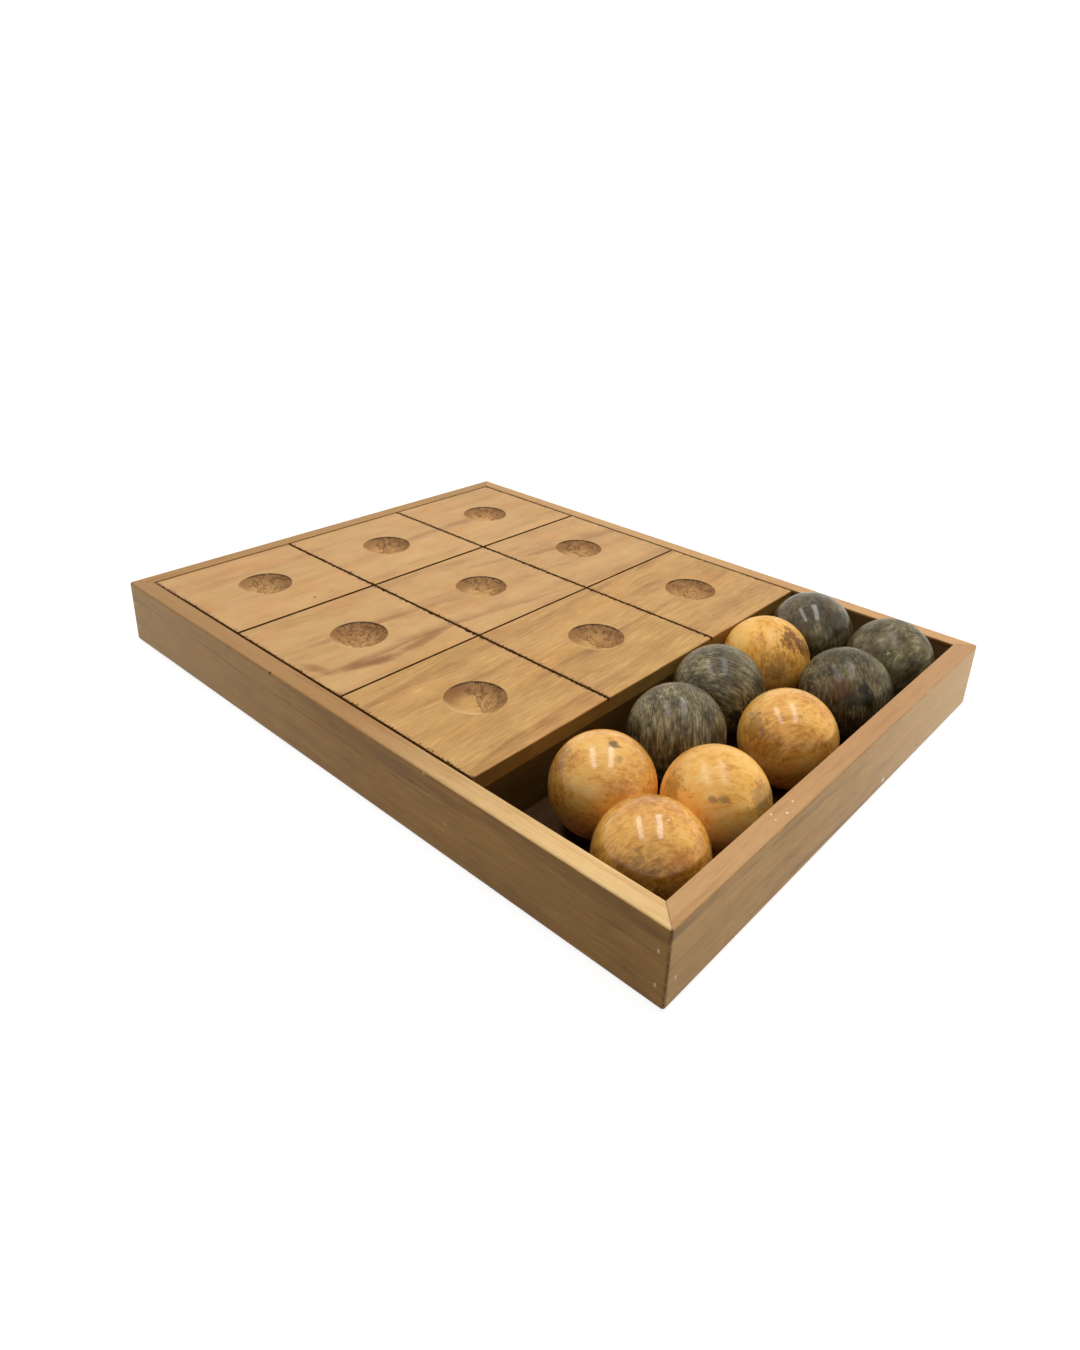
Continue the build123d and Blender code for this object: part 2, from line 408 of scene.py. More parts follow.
def kerf_finish():
    """The kerf's walls and floor, painted dark brown as painted shade of the narrow groove."""
    finish = Finish("kerf_painted_shade", 0.75, specular=0.2)
    kerf_mottle = finish.noise(finish.place, (1.2, 1.2, 1.2), 3, 2.0)
    # Painted shade: the whole groove is coloured dark brown, with a mottle that also makes its bump.
    colour = finish.ramp(kerf_mottle, ((0.3, srgb(84, 48, 12)), (0.7, srgb(124, 78, 28))))
    finish.show(colour, kerf_mottle, 0.2 * mm)
    return finish


def cell_place(finish):
    """How far a place is from the middle of its cell along X and Y, in millimetres."""
    x, y = finish.split(finish.place)[:2]
    pitch = cell_pitch / mm
    along_x = (finish.math("FRACT", x / pitch + field_shift) - 0.5) * pitch
    along_y = (finish.math("FRACT", y / pitch + (cells_per_side / 2)) - 0.5) * pitch
    return along_x, along_y


def dimple_finish(name, timber, centre, turn):
    """The same wood, cut by a round cutter, with one side torn and crazed, and painted shade and light on
    its walls and rims.
    """
    finish = Finish(name, 0.6, specular=0.25)
    grain = finish.framed(finish.place, centre, turn)
    _, colour, _, height = wood(finish, grain, timber)
    along_x, along_y = cell_place(finish)
    radius = dimple_width / mm / 2
    out = finish.math("SQRT", along_x * along_x + along_y * along_y) / radius
    uphill = (along_x * math.cos(torn_side_angle) + along_y * math.sin(torn_side_angle)) / radius
    wander = finish.noise(finish.place, (4.5, 4.5, 4.5), 71, 3.0, 0.6) - 0.5
    own = finish.noise(finish.place, (31, 47, 31), 97, 0.0) - 0.5
    border = uphill + wander * 1.3 + own * 1.6
    torn = finish.rise(border, 0.02, 0.14)
    brink_step_and_shadow = finish.rise(abs(border - 0.07), 0.05, 0.0) * finish.rise(out, 0.9, 0.7)
    wobble = finish.noise(finish.place, (1.4, 1.4, 1.4), 73, 2.0) - 0.5
    crazed = finish.vector("ADD", finish.place, finish.join(wobble * 1.2, wobble * 1.2, 0.0))
    inputs = {"Vector": crazed, "Scale": 0.75}
    web = finish.add("ShaderNodeTexVoronoi", {"feature": "DISTANCE_TO_EDGE"}, inputs).outputs["Distance"]
    cracks = finish.rise(Number(finish, web), 0.13, 0.03)
    sparse = finish.rise(finish.noise(finish.place, (3, 3, 3), 79, 2.0), 0.42, 0.6)
    around = finish.math("ARCTAN2", along_y, along_x)
    scores = finish.noise(finish.join(around * 16, out * 1.5, 0.0), (0.42, 2.0, 1.0), 83, 2.0)
    scored = finish.rise(scores, 0.52, 0.66) * finish.rise(out, 0.35, 0.85)
    facing_near = (along_x * 0.65 - along_y * 0.76) / radius
    # Painted shade: the dimple's walls darken towards the rim, except on the side that faces the near
    # corner.
    painted_wall_shade = finish.rise(out, 0.3, 0.9) * (1 - finish.rise(facing_near, 0.05, 0.7) * 0.9)
    colour = finish.blend(0.04 + painted_wall_shade * 0.68, colour, srgb(130, 86, 42))
    colour = finish.blend(torn * 0.4, colour, srgb(178, 132, 82))
    colour = finish.blend(torn * cracks * sparse * 0.75, colour, srgb(92, 58, 26))
    colour = finish.blend(torn * scored * 0.5, colour, srgb(100, 64, 30))
    # Painted shadow: a dark line along the torn patch's edge, which the bump also lowers as a step.
    colour = finish.blend(brink_step_and_shadow * 0.8, colour, srgb(84, 52, 24))
    # Painted light: the untorn wall that faces the near corner is made paler.
    painted_near_wall_light = finish.rise(facing_near, 0.0, 0.6) * (1 - torn)
    colour = finish.blend(painted_near_wall_light * 0.4, colour, srgb(242, 204, 146))
    # Painted shadow: a dark ragged line along the dimple's far rim.
    bite = finish.noise(finish.join(around * 16, 0.0, 0.0), (1.6, 1.0, 1.0), 85, 2.0)
    bitten = finish.rise(out + (bite - 0.5) * 0.12, 0.93, 0.97)
    far_rim_shadow = bitten * finish.rise(facing_near, -0.25, -0.75)
    colour = finish.blend(far_rim_shadow * 0.9, colour, srgb(62, 36, 14))
    # Painted highlight: a pale line along the dimple's near rim.
    near_rim_highlight = finish.rise(out, 0.95, 0.985) * finish.rise(facing_near, 0.3, 0.8)
    colour = finish.blend(near_rim_highlight * 0.5, colour, srgb(240, 204, 152))
    pits = torn * (cracks * sparse + scored * 0.4) + brink_step_and_shadow
    finish.show(colour, height * 0.3 + wobble * torn - pits, 0.25 * mm)
    return finish


def tear(place, across_grain, seed):
    """How far the saw tore a kerf's edge: short splinters across the grain, almost none along it."""
    fine = noise.noise(Vector((place / splinter_width, seed * 3.7, 0.0)))
    coarse = noise.noise(Vector((place / splinter_patch, seed * 3.7, 9.0)))
    if across_grain:
        return (0.05 + max(0.0, fine) * (1.5 + 2.0 * max(-0.5, coarse))) * mm
    return (0.02 + 0.15 * max(0.0, fine)) * mm


def fading(place):
    """How much narrower the near kerf gets towards the left, where the saw only scratched the board."""
    share = min(1.0, max(0.0, (fading_kerf_start - place) / fading_kerf_length))
    scratch = noise.noise(Vector((place / scratch_length, 4.4, 0.0)))
    return near_kerf_width * share * min(0.85, max(0.2, 0.6 + 0.9 * scratch))


def rectangle_point(bounds, share):
    """A place on a rectangle's outline, from its low corner round by +X, and the side that it is on."""
    low_x, high_x, low_y, high_y = bounds
    side = int(share * 4) % 4
    along = share * 4 - int(share * 4)
    corners = ((low_x, low_y), (high_x, low_y), (high_x, high_y), (low_x, high_y))
    start, end = corners[side], corners[(side + 1) % 4]
    return Vector([a + (b - a) * along for a, b in zip(start, end)]), side


def dimple_height(offset, seed):
    """The dimple's height at an offset from its middle, torn where the cutter met the grain."""
    radius = (dimple_width ** 2 / 4 + dimple_depth ** 2) / (2 * dimple_depth)
    out = offset.length
    depth = dimple_depth - radius + math.sqrt(radius ** 2 - out ** 2)
    uphill = offset.x * math.cos(torn_side_angle) + offset.y * math.sin(torn_side_angle)
    uphill /= dimple_width / 2
    wander = noise.noise(Vector((offset.x / torn_patch, offset.y / torn_patch, seed)))
    torn = min(1.0, max(0.0, (uphill + 0.5 * wander) * 6)) * min(1.0, (dimple_width / 2 - out) / mm)
    chips = noise.noise(Vector((offset.x / torn_chip[0], offset.y / torn_chip[1], seed + 5)))
    return -depth - torn * (0.04 + 0.06 * chips) * mm


def cell_skin(bm, middle, top, border, gaps, seed, by_tray, near_row):
    """One cell's upper skin, in rings: the dimple, the flat round it, and the kerfs down to their floors.

    border is the rectangle (low x, high x, low y, high y) that the cell's kerfs reach to, and gaps says how
    far each of its bounds is from the board's flat top.
    """
    brim = [border[0] + gaps[0], border[1] - gaps[1], border[2] + gaps[2], border[3] - gaps[3]]
    drops = [kerf_depth] * 4
    profiles = [kerf_profile] * 4
    if by_tray:
        drops[tray_side] = tray_edge_ease
        profiles[tray_side] = eased_profile
    outlines = []
    for (kerf_reach, _), (tray_reach, _) in zip(kerf_profile, profiles[tray_side]):
        reaches = (kerf_reach, tray_reach, kerf_reach, kerf_reach)
        outlines.append([start + (end - start) * reach for start, end, reach in zip(brim, border, reaches)])
    around = 4 * points_per_cell_side
    rings = dimple_rings + len(board_ring_shares) + len(kerf_profile)
    bands_to_board = dimple_rings + len(board_ring_shares)
    grid = bmesh.ops.create_grid(bm, x_segments=around, y_segments=rings, size=0.5)
    places = {}
    for vert in grid["verts"]:
        places[vert] = (round((vert.co.x + 0.5) * around) % around, round((vert.co.y + 0.5) * rings))
    for face in {face for vert in grid["verts"] for face in vert.link_faces}:
        ring = min(places[vert][1] for vert in face.verts)
        turn = min(places[vert][0] for vert in face.verts)
        eased = by_tray and turn // points_per_cell_side == tray_side
        face.smooth = ring < dimple_rings
        if ring < dimple_rings:
            face.material_index = dimple_slot
        else:
            face.material_index = board_slot if ring < bands_to_board or eased else kerf_slot
    inward = (Vector((0, 1)), Vector((-1, 0)), Vector((0, -1)), Vector((1, 0)))
    for vert, (turn, ring) in places.items():
        share = turn / around
        edge, side = rectangle_point(brim, share)
        aim = (edge - middle).normalized()
        rim = middle + aim * dimple_width / 2
        if ring <= dimple_rings:
            spot = aim * dimple_width / 2 * (ring / dimple_rings)
            height = dimple_height(spot, seed) if ring < dimple_rings else 0.0
            vert.co = (*(middle + spot), top + height)
            continue
        across_grain = side in (near_side, far_side)
        position = edge.x if across_grain else edge.y
        torn = tear(position, across_grain, seed * 4 + side)
        at_corner = turn % points_per_cell_side == 0
        if at_corner or (by_tray and side == tray_side):
            torn = 0.0
        narrowed = fading(edge.x) if near_row and side == near_side else 0.0
        if ring <= bands_to_board:
            reach = board_ring_shares[ring - dimple_rings - 1]
            spot = rim + (edge - rim) * reach
            if reach == 1.0:
                spot += inward[side] * (torn - narrowed)
            vert.co = (*spot, top)
            continue
        step = ring - bands_to_board - 1
        spot = rectangle_point(outlines[step], share)[0]
        fall = profiles[side][step][1] * drops[side]
        if at_corner:
            before = (side + 3) % 4
            fall = max(fall, profiles[before][step][1] * drops[before])
        spot += inward[side] * (torn * tear_left[step] - narrowed * narrowing_left[step])
        vert.co = (*spot, top - fall)


def plank_piece(name, finishes):
    """One plank: the skins of its three cells, with sides and an underside."""
    low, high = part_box(name)
    pitch = cell_pitch
    index = planks.index(name)
    column = (high[0] - pitch / 2, (low[0] + high[0]) / 2, low[0] + pitch / 2)[index]
    half_kerf, half_wide_kerf = kerf_width / 2, wide_kerf_width / 2
    left_gap = (kerf_width, half_wide_kerf, half_kerf)[index]
    right_gap = (half_wide_kerf, half_kerf, tray_edge_ease)[index]
    bm = bmesh.new()
    for row in range(cells_per_side):
        first, last = row == 0, row == cells_per_side - 1
        line = (row - (cells_per_side - 1) / 2) * pitch
        low_y = low[1] if first else line - pitch / 2
        high_y = high[1] if last else line + pitch / 2
        border = (low[0], high[0], low_y, high_y)
        near_gap = near_kerf_width if first else half_kerf
        far_gap = kerf_width if last else half_kerf
        gaps = (left_gap, right_gap, near_gap, far_gap)
        seed = index * cells_per_side + row + 1
        cell_skin(bm, Vector((column, line)), high[2], border, gaps, seed, name == planks[-1], first)
    bmesh.ops.remove_doubles(bm, verts=bm.verts, dist=weld_distance)
    rim_edges = [edge for edge in bm.edges if edge.is_boundary]
    sides = bmesh.ops.extrude_edge_only(bm, edges=rim_edges)["geom"]
    for vert in (item for item in sides if isinstance(item, bmesh.types.BMVert)):
        vert.co.z = low[2]
    for face in (item for item in sides if isinstance(item, bmesh.types.BMFace)):
        face.material_index = board_slot
    bottom = [item for item in sides if isinstance(item, bmesh.types.BMEdge)]
    bmesh.ops.contextual_create(bm, geom=[edge for edge in bottom if edge.is_boundary])
    bmesh.ops.recalc_face_normals(bm, faces=bm.faces)
    for edge in bm.edges:
        edge.smooth = len({face.material_index for face in edge.link_faces}) == 1
    made_piece(bm, f"sawn_{name}", finishes, "box", [name])


def made_piece(bm, name, finishes, body, nodes):
    """Makes an object of a bmesh, with its finishes, riding on a body and standing for CAD nodes."""
    mesh = bpy.data.meshes.new(name)
    bm.to_mesh(mesh)
    bm.free()
    for finish in finishes:
        mesh.materials.append(finish.material)
    piece = bpy.data.objects.new(name, mesh)
    bpy.context.scene.collection.objects.link(piece)
    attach(piece, body)
    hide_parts(*nodes)


def fibre_frame(finish, centre, turn, seed, sway):
    """A ball's grain frame, and the same with its fibres swaying by up to so many millimetres."""
    grain = finish.framed(finish.place, centre, turn)
    bend = finish.noise(grain, (16, 28, 16), seed, 2.0) - 0.5
    return grain, finish.vector("ADD", grain, finish.join(bend * sway, 0.0, bend * (sway * 0.7)))


def marked(finish, colour, near, centre, marks, edge):
    """The colour with small marks: offset from the ball's centre, radius, shade and strength."""
    for offset, radius, shade, strength in marks:
        place = [a + b for a, b in zip(centre, offset)]
        colour = finish.blend(finish.spot(near, place, radius, edge) * strength, colour, srgb(*shade))
    return colour


def light_ball_finish(name, centre, turn, seed, coat, coat_roughness, lightness_and_shade, smudges, marks):
    """Honey-coloured wood with fine fibres and brown handling marks, under a clear gloss."""
    finish = Finish(f"honey_{name}", 0.45, specular=0.2, coat=coat, coat_roughness=coat_roughness)
    grain, bent = fibre_frame(finish, centre, turn, seed, 5)
    patch = finish.noise(grain, (14, 19, 14), seed + 1, 4.0, 0.6) - 0.5
    mottle = finish.noise(grain, (2.2, 4.5, 2.2), seed + 2, 3.0, 0.65) - 0.5
    fibre = finish.noise(bent, (0.5, 14, 4.0), seed + 3, 3.0, 0.65) - 0.5
    tone = lightness_and_shade + patch * 1.0 + mottle * 0.7 + fibre * 0.5
    dark_half = ((0.0, srgb(112, 54, 4)), (0.34, srgb(200, 127, 36)))
    light_half = ((0.62, srgb(251, 188, 90)), (1.0, srgb(255, 218, 140)))
    colour = finish.ramp(tone, (*dark_half, *light_half))
    grime = finish.noise(bent, (0.9, 2.6, 0.9), seed + 4, 4.0, 0.7)
    dirty = finish.rise(finish.noise(grain, (12, 12, 12), seed + 5, 2.0), 0.4, 0.66)
    specks = finish.rise(grime, 0.54, 0.68) * (0.12 + dirty * 0.7)
    colour = finish.blend(specks * 0.6, colour, srgb(134, 78, 20))
    soil = finish.noise(grain, (3.0, 4.6, 3.0), seed + 6, 6.0, 0.8)
    wobble = (mottle + patch) * 5.0
    near = finish.vector("ADD", finish.place, finish.join(wobble, wobble, 0.0))
    for offset, radius, strength in smudges:
        place = [a + b for a, b in zip(centre, offset)]
        soiled = finish.rise(finish.spot(near, place, radius, 0.8) * 0.36 + soil, 0.66, 0.86)
        colour = finish.blend(soiled * strength, colour, srgb(104, 54, 12))
    colour = marked(finish, colour, near, centre, marks, 0.4)
    height = 0.5 + fibre * 0.4 + mottle * 0.2
    finish.show(colour, height, 0.05 * mm, 0.4 + specks * 0.2)
    return finish


def dark_ball_finish(name, centre, turn, seed, coat, coat_roughness, lightness_and_shade, brown, pale, marks):
    """Wood stained dark grey, with the paler wood showing through in streaks along the fibres."""
    finish = Finish(f"charcoal_{name}", 0.5, specular=0.1, coat=coat, coat_roughness=coat_roughness)
    grain, bent = fibre_frame(finish, centre, turn, seed, 5)
    patch = finish.noise(grain, (9, 15, 9), seed + 1, 4.0, 0.62) - 0.5
    streak = finish.noise(bent, (0.6, 10, 3.0), seed + 2, 3.0, 0.7)
    scratch = finish.noise(bent, (0.45, 7, 2.2), seed + 3, 3.0, 0.65)
    mottle = finish.noise(grain, (2.0, 4.2, 2.0), seed + 4, 4.0, 0.65) - 0.5
    tone = lightness_and_shade + patch * 1.2 + mottle * 0.8 + (streak - 0.5) * (0.4 + pale * 1.5)
    dark_half = ((0.0, srgb(16, 12, 5)), (0.35, srgb(66, 57, 36)))
    light_half = ((0.62, srgb(116, 105, 74)), (1.0, srgb(190, 178, 136)))
    colour = finish.ramp(tone, (*dark_half, *light_half))
    worn = finish.rise(scratch, 0.54, 0.64) * finish.rise(patch, -0.2, 0.12)
    colour = finish.blend(worn * (pale * 0.7), colour, srgb(194, 182, 142))
    rusty = finish.rise(finish.noise(grain, (10, 10, 10), seed + 5, 3.0), 0.44, 0.62)
    colour = finish.blend(rusty * brown, colour, srgb(92, 62, 32))
    wobble = mottle * 9.0
    near = finish.vector("ADD", finish.place, finish.join(wobble, wobble, 0.0))
    colour = marked(finish, colour, near, centre, marks, 0.5)
    height = 0.5 + (streak - 0.5) * 0.8 + mottle * 0.2
    finish.show(colour, height, 0.06 * mm, 0.42 + (streak * 0.16))
    return finish


def ball_piece(name, finish, seed):
    """A turned ball: slightly out of round, with a parting flat at each end of its axis and a few dents."""
    low, high = (Vector(corner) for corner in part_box(name))
    centre = (low + high) / 2
    radius = (high.x - low.x) / 2
    draw = random.Random(seed)
    axis = Vector((draw.gauss(0, 1), draw.gauss(0, 1), draw.gauss(0, 0.5))).normalized()
    dents = [Vector([draw.gauss(0, 1) for _ in range(3)]).normalized() for _ in range(dents_per_ball)]
    flat_reach = math.sqrt(radius ** 2 - parting_flat_width ** 2 / 4)
    bm = bmesh.new()
    bmesh.ops.create_icosphere(bm, subdivisions=ball_rounds, radius=radius)
    for vert in bm.verts:
        out = vert.co.normalized()
        sink = ball_wobble * (1 + noise.noise(out * 1.7 + Vector((seed, 0, 0))))
        for dent in dents:
            away = (out - dent).length * radius / (dent_width / 2)
            sink += dent_depth * max(0.0, 1 - away ** 2) ** 2
        vert.co -= out * sink
        reach = vert.co.dot(axis)
        if abs(reach) > flat_reach:
            side = math.copysign(1.0, reach)
            aside = (vert.co - axis * reach).length
            pit = centre_mark_depth * max(0.0, 1 - (aside / (centre_mark_width / 2)) ** 2)
            vert.co -= axis * side * (abs(reach) - flat_reach + pit)
    for face in bm.faces:
        face.smooth = True
    bmesh.ops.translate(bm, verts=bm.verts, vec=centre)
    made_piece(bm, f"turned_{name}", [finish], name, [name])


def dress(node, finish):
    """Gives a CAD node its finish."""
    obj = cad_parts[node]
    for slot in obj.material_slots:
        slot.material = finish.material
    if not obj.material_slots:
        obj.data.materials.append(finish.material)


def rail_finish(name, colours, top_colours, turn, seed, pith, marks=(), line=None, pale_end=None):
    """A rail's waxed wood, with ruddy eased edges, a dark seam at its mitres, painted shade on its inner
    faces and the marks that it carries.

    top_colours is an axis, two places along it and the top's colour at each. pale_end is an axis, the place
    where the face starts to get paler, the one where it is palest, and its colour there. line is the height
    and slope of a dark grain line.
    """
    timber = Timber(colours, pith=pith, seed=seed, **rail_look)
    finish = Finish(f"waxed_{name}", 0.5, specular=0.2)
    grain = finish.framed(finish.place, box_middle(name), turn)
    tone, colour, pores, height = wood(finish, grain, timber)
    x, y, z = finish.split(finish.place)
    places = {"x": x, "y": y}
    half_long, half_wide, top = frame_half_length / mm, frame_half_width / mm, frame_top / mm
    if pale_end:
        drift = finish.noise(finish.place, (60, 60, 60), seed + 44, 1.0) - 0.5
        axis, pale_from, palest_at, paler = pale_end
        paling = finish.rise(places[axis] + drift * 60, pale_from, palest_at)
        colour = finish.blend(paling * 0.45, colour, srgb(*paler))
    axis, low_place, high_place, low_colour, high_colour = top_colours
    along_top = finish.rise(places[axis], low_place, high_place)
    top_colour = finish.blend(along_top, srgb(*low_colour), srgb(*high_colour))
    dull = finish.rise(tone, 0.62, 0.2)
    top_colour = finish.blend(dull * 0.4, top_colour, (0.74, 0.58, 0.42, 1.0), "MULTIPLY")
    hair = finish.rise(finish.noise(grain, (0.6, 14, 0.6), seed + 45, 3.0, 0.7), 0.5, 0.66)
    top_colour = finish.blend(hair * 0.35, top_colour, (0.72, 0.6, 0.5, 1.0), "MULTIPLY")
    colour = finish.blend(finish.rise(z, top - 0.9, top - 0.3) * 0.85, colour, top_colour)
    beyond = finish.math("MINIMUM", half_long - abs(x), half_wide - abs(y))
    thickness = rail_thickness / mm
    # Painted shade: the rails' inner faces below the top are made dark brown.
    inside = finish.rise(beyond, thickness - 0.4, thickness - 0.1) * finish.rise(z, top - 0.4, top - 1.6)
    colour = finish.blend(inside * 0.85, colour, srgb(84, 55, 26))
    worn = finish.noise(finish.place, (5, 5, 2), seed + 42, 2.0)
    edge_line = finish.rise(abs(z - (top - 1.0)), 0.55, 0.2) * finish.rise(beyond, 1.7, 0.7)
    colour = finish.blend(edge_line * finish.rise(worn, 0.25, 0.6) * 0.45, colour, srgb(140, 90, 46))
    seam = abs((half_long - abs(x)) - (half_wide - abs(y)))
    crumbs = finish.noise(finish.place, (1.0, 1.0, 2.2), seed + 40, 2.0)
    seam_mask = finish.rise(seam, 0.4, 0.12) * finish.rise(crumbs, 0.3, 0.42)
    colour = finish.blend(seam_mask * 0.75, colour, srgb(70, 44, 22))
    colour = finish.blend(seam_mask * finish.rise(crumbs, 0.53, 0.6), colour, srgb(222, 192, 146))
    if line:
        line_height, slope = line
        drift = finish.noise(finish.place, (70, 70, 70), seed + 41, 2.0) * 4.0
        on_line = finish.rise(abs(z - (line_height + x * slope) - drift), 0.7, 0.1)
        strength = finish.rise(finish.noise(finish.place, (35, 35, 35), seed + 43, 1.0), 0.3, 0.6)
        colour = finish.blend(on_line * strength * 0.4, colour, srgb(78, 52, 26))
    for place, radius, shade in marks:
        colour = finish.blend(finish.spot(finish.place, place, radius) * 0.9, colour, srgb(*shade))
    finish.show(colour, height - seam_mask * 0.8, 0.12 * mm, 0.44 + pores * 0.2 + tone * 0.06)
    return finish


def filler_finish():
    """The filled pin holes: a narrow pale plug, with the rail's own colour round it."""
    finish = Finish("filled_pin_holes", 0.6, specular=0.3)
    x, y = finish.split(finish.place)[:2]
    aside = finish.math("MINIMUM", abs(abs(x) - pin_rows[0]), abs(abs(y) - pin_rows[1]))
    grit = finish.noise(finish.place, (0.6, 0.6, 0.6), 5, 2.0)
    colour = finish.blend(finish.rise(aside, 0.6, 0.35), srgb(176, 132, 84), srgb(255, 234, 184))
    colour = finish.blend(grit * 0.12, colour, srgb(170, 126, 76))
    finish.show(colour, grit, 0.1 * mm)
    return finish


def steel_finish():
    """The pins' plain steel."""
    finish = Finish("pin_steel_finish", 0.4)
    finish.shader.inputs["Metallic"].default_value = 1.0
    wear = finish.noise(finish.place, (0.5, 0.5, 3), 9, 2.0)
    colour = finish.ramp(wear, ((0.3, srgb(150, 148, 144)), (0.7, srgb(196, 194, 190))))
    finish.show(colour, wear, 0.02 * mm)
    return finish


def make_camera():
    """A camera where the photograph was taken from."""
    data = bpy.data.cameras.new("photo_camera")
    data.sensor_width = sensor_width
    data.lens = sensor_width * focal_length_pixels / photo_height
    data.shift_x = (photo_width / 2 - optical_centre[0]) / photo_height
    data.shift_y = (optical_centre[1] - photo_height / 2) / photo_height
    data.clip_start = 0.01
    forward = camera_right.cross(camera_down)
    turned = Matrix((camera_right, -camera_down, -forward)).transposed().to_4x4()
    camera = bpy.data.objects.new("photo_camera", data)
    camera.matrix_world = Matrix.Translation(camera_place) @ turned
    bpy.context.scene.collection.objects.link(camera)
    bpy.context.scene.camera = camera


def lamp(name, place, aim, size, power, in_gloss=False):
    """A rectangular soft lamp at a place, pointed at another."""
    data = bpy.data.lights.new(name, "AREA")
    data.shape = "RECTANGLE"
    data.size, data.size_y = size
    data.energy = power
    lamp_object = bpy.data.objects.new(name, data)
    lamp_object.location = place
    direction = Vector(aim) - Vector(place)
    lamp_object.rotation_euler = direction.to_track_quat("-Z", "Y").to_euler()
    lamp_object.visible_glossy = in_gloss
    bpy.context.scene.collection.objects.link(lamp_object)
    return lamp_object


def seen_share(nodes):
    """1 for the rays that show the backdrop: to the camera, in gloss and through glass."""
    path = nodes.add("ShaderNodeLightPath")
    rays = [Number(nodes, path.outputs[f"Is {kind} Ray"]) for kind in ("Camera", "Glossy", "Transmission")]
    return nodes.math("MAXIMUM", nodes.math("MAXIMUM", rays[0], rays[1]), rays[2])


def make_world():
    """Even soft light, and a white backdrop where it is seen."""
    world = bpy.data.worlds.new("studio")
    world.use_nodes = True
    bpy.context.scene.world = world
    nodes = Nodes(world.node_tree)
    glow = nodes.add("ShaderNodeBackground", None, {"Color": (1.0, 0.98, 0.95, 1.0), "Strength": 0.045})
    backdrop = nodes.add("ShaderNodeBackground", None, {"Color": (1.0, 1.0, 1.0, 1.0), "Strength": 1.0})
    inputs = {0: seen_share(nodes), 1: glow.outputs[0], 2: backdrop.outputs[0]}
    both = nodes.add("ShaderNodeMixShader", None, inputs)
    nodes.feed(world.node_tree.nodes["World Output"].inputs["Surface"], both.outputs[0])


def make_floor():
    """A plain pale floor that keeps the box's shadow."""
    bm = bmesh.new()
    bmesh.ops.create_grid(bm, x_segments=1, y_segments=1, size=floor_half_size)
    bmesh.ops.translate(bm, verts=bm.verts, vec=(0.0, 0.0, -floor_drop))
    mesh = bpy.data.meshes.new("floor")
    bm.to_mesh(mesh)
    bm.free()
    floor = bpy.data.objects.new("floor", mesh)
    bpy.context.scene.collection.objects.link(floor)
    finish = Finish("pale_floor", 0.9, specular=0.1)
    finish.shader.inputs["Base Color"].default_value = (0.42, 0.40, 0.37, 1.0)
    glow = finish.rise(finish.measure("LENGTH", finish.place), *floor_glow_reach) * 0.1 + 0.9
    white = finish.add("ShaderNodeBsdfDiffuse", None, {"Color": (0.25, 0.25, 0.25, 1.0)})
    lift = finish.add("ShaderNodeEmission", None, {"Color": finish.join(glow, glow, glow), "Strength": 1.0})
    shown = finish.add("ShaderNodeAddShader", None, {0: white.outputs[0], 1: lift.outputs[0]})
    inputs = {0: seen_share(finish), 1: finish.shader.outputs[0], 2: shown.outputs[0]}
    both = finish.add("ShaderNodeMixShader", None, inputs)
    finish.feed(finish.tree.nodes["Material Output"].inputs["Surface"], both.outputs[0])
    mesh.materials.append(finish.material)


def make_lights():
    """Two ceiling strips, soft lamps over the end rail and beyond the field, and low ones at the sides."""
    tray_middle = Vector((0.14, 0.0, 0.0))
    towards_camera = Vector((0.583, -0.677, 0.0))
    across, up = Vector((camera_right.x, camera_right.y, 0.0)), Vector((0, 0, 1))
    for index, (aside, power) in enumerate(((-0.45, 2.4), (0.12, 2.6))):
        place = tray_middle + (towards_camera * -0.04 + across * aside + up) * strip_height
        strip = lamp(f"ceiling_strip_{index + 1}", place, place - up, strip_size, power, in_gloss=True)
        strip.rotation_euler = Euler((0.0, 0.0, math.atan2(across.y, across.x)))
    lamp("over_end", (0.30, 0.28, 0.8), (0.2, 0.1, 0.0), (0.6, 0.6), 1.7)
    lamp("beyond", (-0.35, 0.3, 0.85), (-0.2, 0.0, 0.0), (0.6, 0.6), 0.9)
    lamp("right_window", (0.90, 0.62, 0.035), (0.2, 0.06, 0.02), (0.6, 0.06), 4.2)
    lamp("left_window", (-0.75, -0.75, 0.035), (-0.2, -0.12, 0.02), (0.5, 0.06), 1.6)


